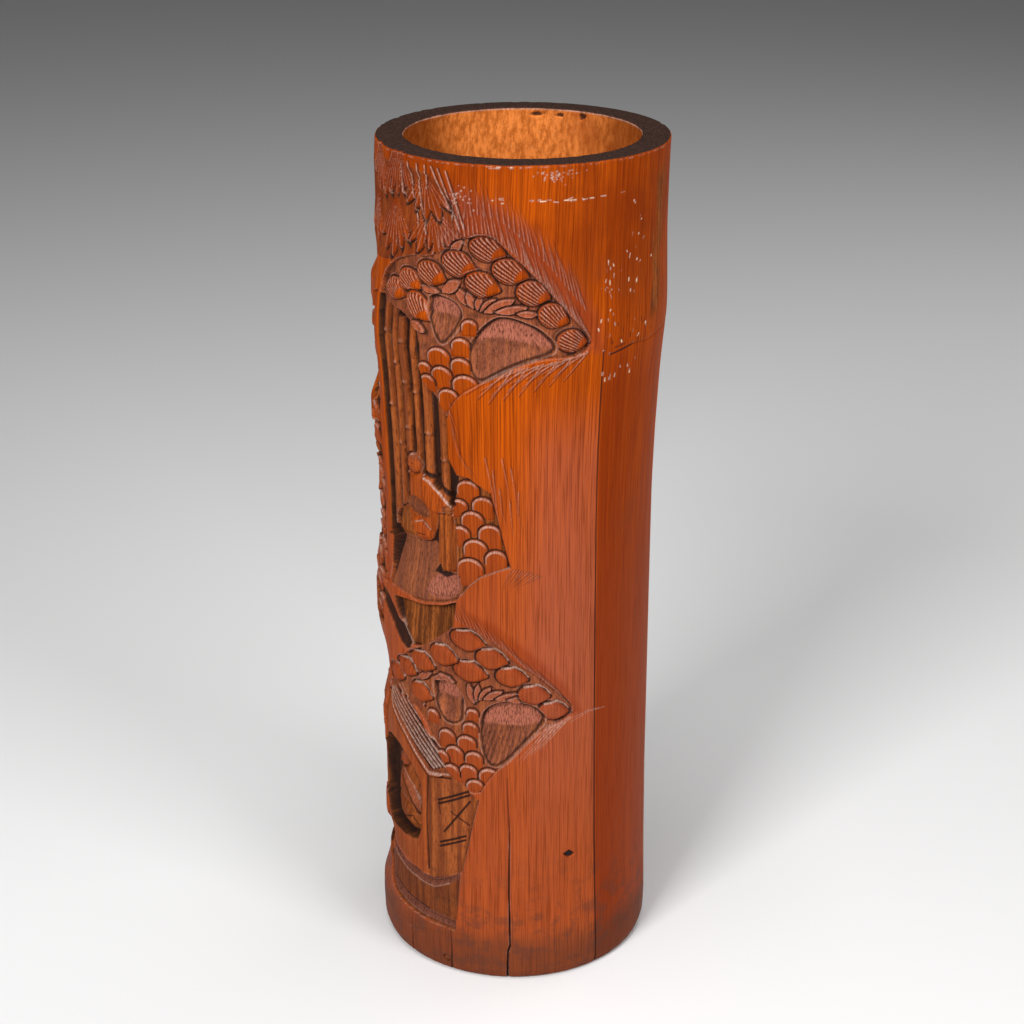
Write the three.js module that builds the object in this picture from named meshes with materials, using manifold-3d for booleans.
// A carved bamboo brush pot: one length of culm bored out and carved in deep relief, a turned floor
// disc let into a rebate in its foot, three bamboo pegs that hold the disc, and a small filler plug
// in the plain side of the wall.
//
// Millimetres, +Z up. The origin is the middle of the foot, on the surface that the pot stands on.
// A place on the wall is [bearing, height]: bearing is in degrees round the culm, 0 at the middle of
// the carved scene (facing -Y) and 90 at +X.
import * as THREE from "three";
import { mergeVertices } from "three/addons/utils/BufferGeometryUtils.js";
import Module from "manifold-3d";

const wasm = await Module();
wasm.setup();

// ---- driving dimensions ----
const HEIGHT = 355;
const WAIST_R = 57.2; // outer radius along the long lower internode
const WALL = 10.7; // wall thickness at the waist and at the mouth
const NODE_Z = 284; // height of the natural node
const NODE_SWELL = 3.6; // how far the node stands out from the waist
const LEAN = 3.2; // how far the short upper internode leans back at the mouth
const AROUND = 40; // facets round the culm

const BORE_R = WAIST_R - WALL;
const FOOT_R = WAIST_R + 0.8;
const BEVEL_H = 13; // the foot is drawn in over this height
const BEVEL_IN = 2.3;
const MOUTH_EASE = 0.3; // the bore opens out by this much at the mouth
const STUB_IN = 2.2; // what is left of the node's own septum after boring
const STUB_HALF_H = 2; // half of the stub's height at its inner edge
const STUB_SLOPE = 3; // height over which the stub runs out into the bore
const BORE_CLEAR = 0.2; // nothing carved stands nearer to the stub's inner edge than this

const DISC_R = 50;
const DISC_H = 9;
const DISC_EASE = 0.6; // the disc's lower edge is eased
const FOOT_CLEAR = 1.2; // the disc stays this far off the table
const GAP = 0.3; // glue gap between pieces that touch

const PEG_R = 1.6;
const PEG_IN = 37; // radius that a peg reaches in to
const PEG_SUNK = 0.4; // a peg's end lies this far below the skin
const PEG_BEARINGS = [70, 190, 310];

const PLUG_AT = [123.5, 59.5];
const PLUG_SIZE = [4.4, 2.8]; // a lozenge, across and up
const PLUG_DEPTH = 6;
const PLUG_SUNK = 0.3;

const SHALLOW = 1.7; // ground between the pine cones and the rock scales
const STEP = 2.6; // the terraces below the hut
const MIDDLE = 3.6; // the bank under the ledge
const RECESS = 4.5; // the ledge and the overhang
const COURT_DEPTH = 5; // the court in the middle of the scene
const DEEP = 6.2; // hollows, the cane thicket and the inside of the hut
const ROBE_BELOW = 1.2; // how far the robed figures stay below the skin
const FRONT_BELOW = 0.8; // and the pavilion's roofs and rock
const LEFT_DROP = 9; // the left half of the scene is carved this much lower

// A needle cluster is an oval boss. Its radii are shares of the oval's width and height.
const BOSS_TOP = 0.38;
const BOSS_FOOT = 0.5;
const BOSS_THICK = 3.4;
const BOSS_MIDDLE_IN = 1.9; // the boss's middle lies this far below the skin
const BOSS_TILT = -20;

// A scale is an arched plate that leans out at its top.
const SCALE_THICK = 3;
const SCALE_BACK_IN = 3.6;
const SCALE_TILT = -6;
const SCALE_TALL = 1.05; // height as a share of the width

const CANE_R = 2.4;
const CANE_IN = 3.6; // how far a cane's axis lies inside the waist
const CANE_RING = 0.5; // a cane's ring stands this far out from it
const CANE_RING_H = 1;
const COLUMN_R = 2.2;

// Cutters start well inside the wall, reach well outside it and run past its ends.
const CUTTER_FROM = 15;
const CUTTER_LONG = 60;
const CUTTER_PAST = 5;
const BLOCK_ROOT = 1; // a block's root is let this far into the floor of its pocket

const rad = THREE.MathUtils.degToRad;

// Outer radius of the untouched culm, as [height, radius] from foot to mouth.
const OUTER = [
  [0, FOOT_R - BEVEL_IN],
  [BEVEL_H / 3, FOOT_R - BEVEL_IN / 3],
  [BEVEL_H, FOOT_R],
  [75, WAIST_R],
  [210, WAIST_R],
  [262, WAIST_R + 1.9],
  [NODE_Z - 4, WAIST_R + 3.1],
  [NODE_Z + 3, WAIST_R + NODE_SWELL],
  [320, WAIST_R + 1.5],
  [HEIGHT - 1, WAIST_R + 0.5],
  [HEIGHT, WAIST_R - 0.2],
];

// Radius of the untouched culm at a height.
function skin(z) {
  for (let i = 1; i < OUTER.length; i++) {
    const [z0, r0] = OUTER[i - 1];
    const [z1, r1] = OUTER[i];
    if (z <= z1) return r0 + ((r1 - r0) * (z - z0)) / (z1 - z0);
  }
  return OUTER.at(-1)[1];
}

// How far back the culm's axis lies at a height: straight up to the node, then leaning.
function lean(z) {
  return (LEAN * Math.max(0, z - NODE_Z)) / (HEIGHT - NODE_Z);
}

// ---- solids ----
function solid(geometry) {
  const bare = geometry.index ? geometry.toNonIndexed() : geometry.clone();
  for (const name of Object.keys(bare.attributes)) {
    if (name !== "position") bare.deleteAttribute(name);
  }
  const merged = mergeVertices(bare, 1e-3);
  return new wasm.Manifold(
    new wasm.Mesh({
      numProp: 3,
      vertProperties: merged.attributes.position.array,
      triVerts: new Uint32Array(merged.index.array),
    }),
  );
}

function geometryOf(manifold) {
  const mesh = manifold.getMesh();
  const geometry = new THREE.BufferGeometry();
  geometry.setAttribute("position", new THREE.BufferAttribute(mesh.vertProperties, 3));
  geometry.setIndex(new THREE.BufferAttribute(mesh.triVerts, 1));
  geometry.computeVertexNormals();
  return geometry;
}

// A profile of [height, radius] points turned round Z. It starts and ends on the axis, or closes.
function turned(profile, segments = AROUND) {
  const points = profile.map(([z, r]) => new THREE.Vector2(r, z));
  return new THREE.LatheGeometry(points, segments).rotateX(Math.PI / 2);
}

// Leans everything above the node back along +Y.
function leaned(geometry) {
  const place = geometry.attributes.position;
  for (let i = 0; i < place.count; i++) {
    place.setY(i, place.getY(i) + lean(place.getZ(i)));
  }
  return geometry;
}

// Puts a geometry drawn with x along the wall, y up and z outward at a bearing, height and radius.
function onWall(geometry, bearing, z, radius) {
  const a = rad(bearing);
  const along = new THREE.Vector3(Math.cos(a), Math.sin(a), 0);
  const out = new THREE.Vector3(Math.sin(a), -Math.cos(a), 0);
  const place = new THREE.Matrix4().makeBasis(along, new THREE.Vector3(0, 0, 1), out);
  place.setPosition(out.x * radius, out.y * radius + lean(z), z);
  return geometry.applyMatrix4(place);
}

// A flat outline of [bearing, height] points, as a shape that faces its own middle bearing.
function wallShape(outline) {
  const bearings = outline.map(([b]) => b);
  const middle = (Math.min(...bearings) + Math.max(...bearings)) / 2;
  const flat = outline.map(([b, z]) => {
    return new THREE.Vector2(skin(z) * Math.sin(rad(b - middle)), z);
  });
  return [new THREE.Shape(flat), middle];
}

// The culm's outside shrunk by a depth: what a pocket of that depth leaves standing. Each is kept,
// because many pockets share a depth.
const cores = new Map();
function core(depth) {
  if (!cores.has(depth)) {
    const profile = OUTER.map(([z, r]) => [z, r - depth]);
    const [bottom, top] = [-CUTTER_PAST, HEIGHT + CUTTER_PAST];
    const closed = [[bottom, 0], [bottom, profile[0][1]], ...profile];
    closed.push([top, profile.at(-1)[1]], [top, 0]);
    cores.set(depth, solid(leaned(turned(closed))));
  }
  return cores.get(depth);
}

// A prism with an outline, through the wall from inside the bore to well outside.
function prism(outline) {
  const [shape, middle] = wallShape(outline);
  const long = new THREE.ExtrudeGeometry(shape, { depth: CUTTER_LONG, bevelEnabled: false });
  return solid(onWall(long, middle, 0, CUTTER_FROM));
}

// A cutter that sinks an outline into the wall down to a depth.
function pocket(outline, depth) {
  return prism(outline).subtract(core(depth));
}

// A block with an outline, standing in a pocket of a depth, with its face below the skin.
function block(outline, depth, below) {
  return prism(outline).intersect(core(below)).subtract(core(depth + BLOCK_ROOT));
}

// ---- carved motifs, each a solid that stands in a pocket ----

// A pine's needle cluster: an oval boss, tilted, with its top at the skin.
function needleCluster([bearing, z, width, height], tilt) {
  const boss = new THREE.CylinderGeometry(BOSS_TOP, BOSS_FOOT, BOSS_THICK, 8);
  boss.rotateX(Math.PI / 2).scale(width, height, 1).rotateZ(rad(tilt));
  return solid(onWall(boss, bearing, z, skin(z) - BOSS_MIDDLE_IN));
}

// A rock or bark scale: an arched plate with its top edge rounded.
function scale([bearing, top, width]) {
  const r = width / 2;
  const tall = width * SCALE_TALL;
  const arch = new THREE.Shape();
  arch.moveTo(r, -tall);
  arch.lineTo(r, -r);
  arch.absarc(0, -r, r, 0, Math.PI, false);
  arch.lineTo(-r, -tall);
  const plate = new THREE.ExtrudeGeometry(arch, {
    depth: SCALE_THICK,
    bevelEnabled: false,
    curveSegments: 2,
  });
  return solid(onWall(plate.rotateX(rad(SCALE_TILT)), bearing, top, skin(top) - SCALE_BACK_IN));
}

// A cane or a column, from its foot to its top, with a ring at each of its own nodes.
function cane(bearing, foot, top, nodes, radius) {
  const middle = (foot + top) / 2;
  const stem = new THREE.CylinderGeometry(radius, radius, top - foot, 6).rotateX(Math.PI / 2);
  const parts = [stem.translate(0, 0, middle)];
  for (const z of nodes) {
    const proud = radius + CANE_RING;
    const ring = new THREE.CylinderGeometry(proud, proud, CANE_RING_H, 6);
    parts.push(ring.rotateX(Math.PI / 2).translate(0, 0, z));
  }
  const a = rad(bearing);
  const r = WAIST_R - CANE_IN;
  return parts.map((part) => solid(part.translate(r * Math.sin(a), -r * Math.cos(a), 0)));
}

// How much lower a side of the scene is carved: 1 is the right half and -1 the left.
function drop(side) {
  return side < 0 ? LEFT_DROP : 0;
}

function mirrored(outline, side) {
  return outline.map(([b, z, ...size]) => [b * side, z - drop(side), ...size]);
}

// ---- the scene, drawn for the right half and repeated on the left ----
const UPPER_CLUSTERS = [
  [88, 322.5, 14, 9.5], [77, 316, 13.5, 9.5], [86.5, 309, 13, 9], [96.5, 314.5, 13, 9],
  [106, 306, 12.5, 9], [114, 297, 12, 9], [121.5, 286.5, 11.5, 8.5],
  [65, 311, 13, 8.5], [55, 307, 11, 8], [47, 301, 10, 8], [60, 297, 11.5, 8.5],
];
const LOWER_CLUSTERS = [
  [80, 159, 15, 9], [90.5, 151.5, 13.5, 9], [81, 145, 14, 9], [99, 144, 13.5, 8.5],
  [108.5, 135.5, 13, 8.5], [117, 127.5, 12.5, 8], [68.5, 150, 13, 9], [57, 144, 13, 8.5],
  [47, 138, 11, 8], [39, 132, 10, 8], [56, 129, 11.5, 8.5],
];
const UPPER_CROWN = [
  [42, 297], [44, 307], [56, 313], [68, 318], [80, 327], [88, 329], [96, 323], [106, 313],
  [116, 304], [126, 291], [127, 284], [117, 281], [98, 277], [84, 268], [75, 260], [66, 262],
  [62, 276], [60, 290], [50, 294],
];
const LOWER_CROWN = [
  [34, 128], [40, 138], [52, 147], [66, 156], [80, 165], [90, 159], [100, 150], [110, 141],
  [122, 128], [116, 122], [102, 110], [92, 101], [84, 88], [74, 92], [68, 100], [64, 112],
  [56, 123], [44, 125],
];
const HOLLOWS = [
  [[84, 275], [83, 286], [88, 294], [96, 297.5], [106, 294.5], [116, 283], [98, 277], [88, 272]],
  [[66, 300], [72, 302.5], [79, 300], [80, 294], [75, 287], [71, 284], [68, 291]],
  [[85, 117], [86, 127], [93, 132], [106, 130], [113, 124], [102, 112], [93, 103], [86, 108]],
  [[63, 136], [70, 138.5], [77, 133], [78, 123], [71, 119], [65, 127]],
];
const SCALES = [
  [79.5, 290, 8], [70.5, 284, 9], [80, 279, 9], [71.5, 274.5, 9],
  [79, 229, 9], [87.5, 221.5, 9], [79, 217, 9], [88, 209, 10], [80, 205, 9],
  [70, 118, 8], [79, 118, 9], [83, 107, 10], [74, 106, 9], [82, 96, 8],
];
const THICKET = [
  [40, 214], [40, 291], [50, 294], [58, 289], [62, 275], [66, 264], [73, 254], [73, 228],
  [73, 214], [73, 192], [66, 190], [60, 198], [46, 200],
];
const CANES = [
  [70.5, 216, 262, [236]], [64.5, 222, 263, [246]], [59, 218, 268, [240, 258]],
  [53.5, 214, 290, [250]], [48, 212, 294, [238, 272]], [43, 210, 292, [256]],
];
const ROCK_SIDE = [[74, 229], [80, 231], [90, 224], [97.5, 193], [88, 190], [78, 181], [75, 200]];
const LEDGE = [[41, 198], [60, 198], [78, 187], [78, 180], [74, 176], [60, 172], [45, 171], [36, 173]];
const BANK = [[40, 169], [58, 170], [74, 174], [74, 160], [70, 154], [60, 150], [54, 151], [47, 159]];
const HUT_INSIDE = [[28, 57], [28, 95], [34, 98], [50, 97], [55.5, 92], [55.5, 58], [42, 56]];
const HUT_WALL = [[57, 96], [66, 97], [80, 90], [83, 84], [80, 70], [77, 49], [63, 43], [57, 44]];
const THATCH = [[38, 122], [49, 125], [71, 100], [62, 99]];
const TERRACES = [
  [[22, 55], [40, 46], [58, 42], [63, 41], [76, 47.5], [76, 43.5], [63, 37], [57, 38], [40, 41.5], [22, 49]],
  [[14, 36], [40, 27], [58, 26], [75, 24], [74, 20.5], [58, 21.5], [40, 22.5], [14, 30]],
];
const ROBE = [[60, 224], [63, 227], [74, 219], [71, 211], [73, 192], [66, 193], [65, 204], [57, 202]];
const HEAD = [55.5, 231.5, 6, 7];

// The middle of the scene: a tall court between two posts, with a pavilion standing in it.
const COURT = [[-31, 176], [-31, 290], [31, 290], [31, 176]];
const PAVILION_ROOFS = [
  [[-25, 240], [-13, 247], [-3, 259], [3, 259], [13, 247], [25, 240], [23, 235], [-23, 235]],
  [[-29, 207], [-16, 213], [-9, 222], [9, 222], [16, 213], [29, 207], [27, 201], [-27, 201]],
];
const PAVILION_COLUMNS = [-21, -12, 12, 21];
const PAVILION_STOREYS = [[176, 204], [215, 238]];
const ROCK_FRONT = [
  [-30, 176], [-28, 190], [-18, 184], [-8, 190], [8, 186], [18, 192], [30, 186], [30, 176],
];
const OVERHANG = [[-27, 126], [-24, 141], [-9, 148], [9, 145], [24, 148], [29, 133], [12, 125]];

function carvedWall() {
  const inner = [
    [HEIGHT, BORE_R + MOUTH_EASE],
    [NODE_Z + STUB_HALF_H + STUB_SLOPE, BORE_R],
    [NODE_Z + STUB_HALF_H, BORE_R - STUB_IN],
    [NODE_Z - STUB_HALF_H, BORE_R - STUB_IN],
    [NODE_Z - STUB_HALF_H - STUB_SLOPE, BORE_R],
    [FOOT_CLEAR + DISC_H + GAP, BORE_R],
    [FOOT_CLEAR + DISC_H + GAP, DISC_R + GAP],
    [0, DISC_R + GAP],
  ];
  let wall = solid(leaned(turned([...OUTER, ...inner, OUTER[0]])));

  const cuts = [pocket(COURT, COURT_DEPTH), pocket(OVERHANG, RECESS)];
  const stands = [];
  for (const side of [1, -1]) {
    const cut = (outline, depth) => cuts.push(pocket(mirrored(outline, side), depth));
    cut(UPPER_CROWN, SHALLOW);
    cut(LOWER_CROWN, SHALLOW);
    cut(ROCK_SIDE, SHALLOW);
    cut(THICKET, DEEP);
    cut(LEDGE, RECESS);
    cut(BANK, MIDDLE);
    cut(HUT_INSIDE, DEEP);
    cut(HUT_WALL, SHALLOW);
    cut(THATCH, SHALLOW / 2);
    TERRACES.forEach((outline) => cut(outline, STEP));

    for (const place of mirrored([...UPPER_CLUSTERS, ...LOWER_CLUSTERS], side)) {
      stands.push(needleCluster(place, BOSS_TILT * side));
    }
    mirrored(SCALES, side).forEach((place) => stands.push(scale(place)));
    for (const [bearing, foot, top, nodes] of CANES) {
      const rings = nodes.map((z) => z - drop(side));
      stands.push(...cane(bearing * side, foot - drop(side), top - drop(side), rings, CANE_R));
    }
    stands.push(block(mirrored(ROBE, side), DEEP, ROBE_BELOW));
    stands.push(needleCluster(mirrored([HEAD], side)[0], 0));
  }
  for (const outline of [...PAVILION_ROOFS, ROCK_FRONT]) {
    stands.push(block(outline, COURT_DEPTH, FRONT_BELOW));
  }
  for (const bearing of PAVILION_COLUMNS) {
    for (const [foot, top] of PAVILION_STOREYS) {
      stands.push(...cane(bearing, foot, top, [], COLUMN_R));
    }
  }
  wall = wall.subtract(wasm.Manifold.union(cuts)).add(wasm.Manifold.union(stands));
  // The hollows under the pines come last, because they cut through the crowns' bosses.
  const hollows = [1, -1].flatMap((side) => {
    return HOLLOWS.map((outline) => pocket(mirrored(outline, side), DEEP));
  });
  return wall.subtract(wasm.Manifold.union(hollows)).subtract(solid(bore()));
}

// The clear inside of the pot, taken out again so that nothing carved can stand into it.
function bore() {
  const r = BORE_R - STUB_IN - BORE_CLEAR;
  const [bottom, top] = [-CUTTER_PAST, HEIGHT + CUTTER_PAST];
  return leaned(turned([[bottom, 0], [bottom, r], [NODE_Z, r], [top, r], [top, 0]]));
}

// ---- the other pieces ----
function discGeometry() {
  const top = FOOT_CLEAR + DISC_H;
  return turned([
    [FOOT_CLEAR, 0],
    [FOOT_CLEAR, DISC_R - DISC_EASE],
    [FOOT_CLEAR + DISC_EASE, DISC_R],
    [top, DISC_R],
    [top, 0],
  ]);
}

function pegGeometry(bearing, radius, from, to) {
  const length = to - from;
  const peg = new THREE.CylinderGeometry(radius, radius, length, 12).rotateX(Math.PI / 2);
  return onWall(peg, bearing, FOOT_CLEAR + DISC_H / 2, from + length / 2);
}

function lozengeGeometry(grow, from, to) {
  const [w, h] = PLUG_SIZE.map((s) => s / 2 + grow);
  const corners = [[w, 0], [0, h], [-w, 0], [0, -h]].map(([x, y]) => new THREE.Vector2(x, y));
  const plug = new THREE.ExtrudeGeometry(new THREE.Shape(corners), {
    depth: to - from,
    bevelEnabled: false,
  });
  return onWall(plug, PLUG_AT[0], PLUG_AT[1], from);
}

const pegOuter = skin(FOOT_CLEAR + DISC_H / 2) - PEG_SUNK;
const plugOuter = skin(PLUG_AT[1]) - PLUG_SUNK;
const plugInner = plugOuter - PLUG_DEPTH;

let wall = carvedWall();
let disc = solid(discGeometry());
for (const bearing of PEG_BEARINGS) {
  const hole = solid(pegGeometry(bearing, PEG_R + GAP, PEG_IN - GAP, pegOuter + CUTTER_PAST));
  wall = wall.subtract(hole);
  disc = disc.subtract(hole);
}
wall = wall.subtract(solid(lozengeGeometry(GAP, plugInner - GAP, plugOuter + CUTTER_PAST)));

const bamboo = new THREE.MeshStandardMaterial({ color: 0xb0481a, roughness: 0.42, metalness: 0 });
const floorWood = new THREE.MeshStandardMaterial({ color: 0xa8703a, roughness: 0.6, metalness: 0 });
const pegBamboo = new THREE.MeshStandardMaterial({ color: 0x8a4a22, roughness: 0.55, metalness: 0 });
const filler = new THREE.MeshStandardMaterial({ color: 0x2a1c1a, roughness: 0.6, metalness: 0 });

const pot = new THREE.Group();
function addPiece(name, geometry, material) {
  const mesh = new THREE.Mesh(geometry, material);
  mesh.name = name;
  pot.add(mesh);
}

addPiece("culm_wall", geometryOf(wall), bamboo);
addPiece("floor_disc", geometryOf(disc), floorWood);
PEG_BEARINGS.forEach((bearing, i) => {
  addPiece(`floor_peg_${i + 1}`, pegGeometry(bearing, PEG_R, PEG_IN, pegOuter), pegBamboo);
});
addPiece("wall_plug", lozengeGeometry(0, plugInner, plugOuter), filler);

export default pot;
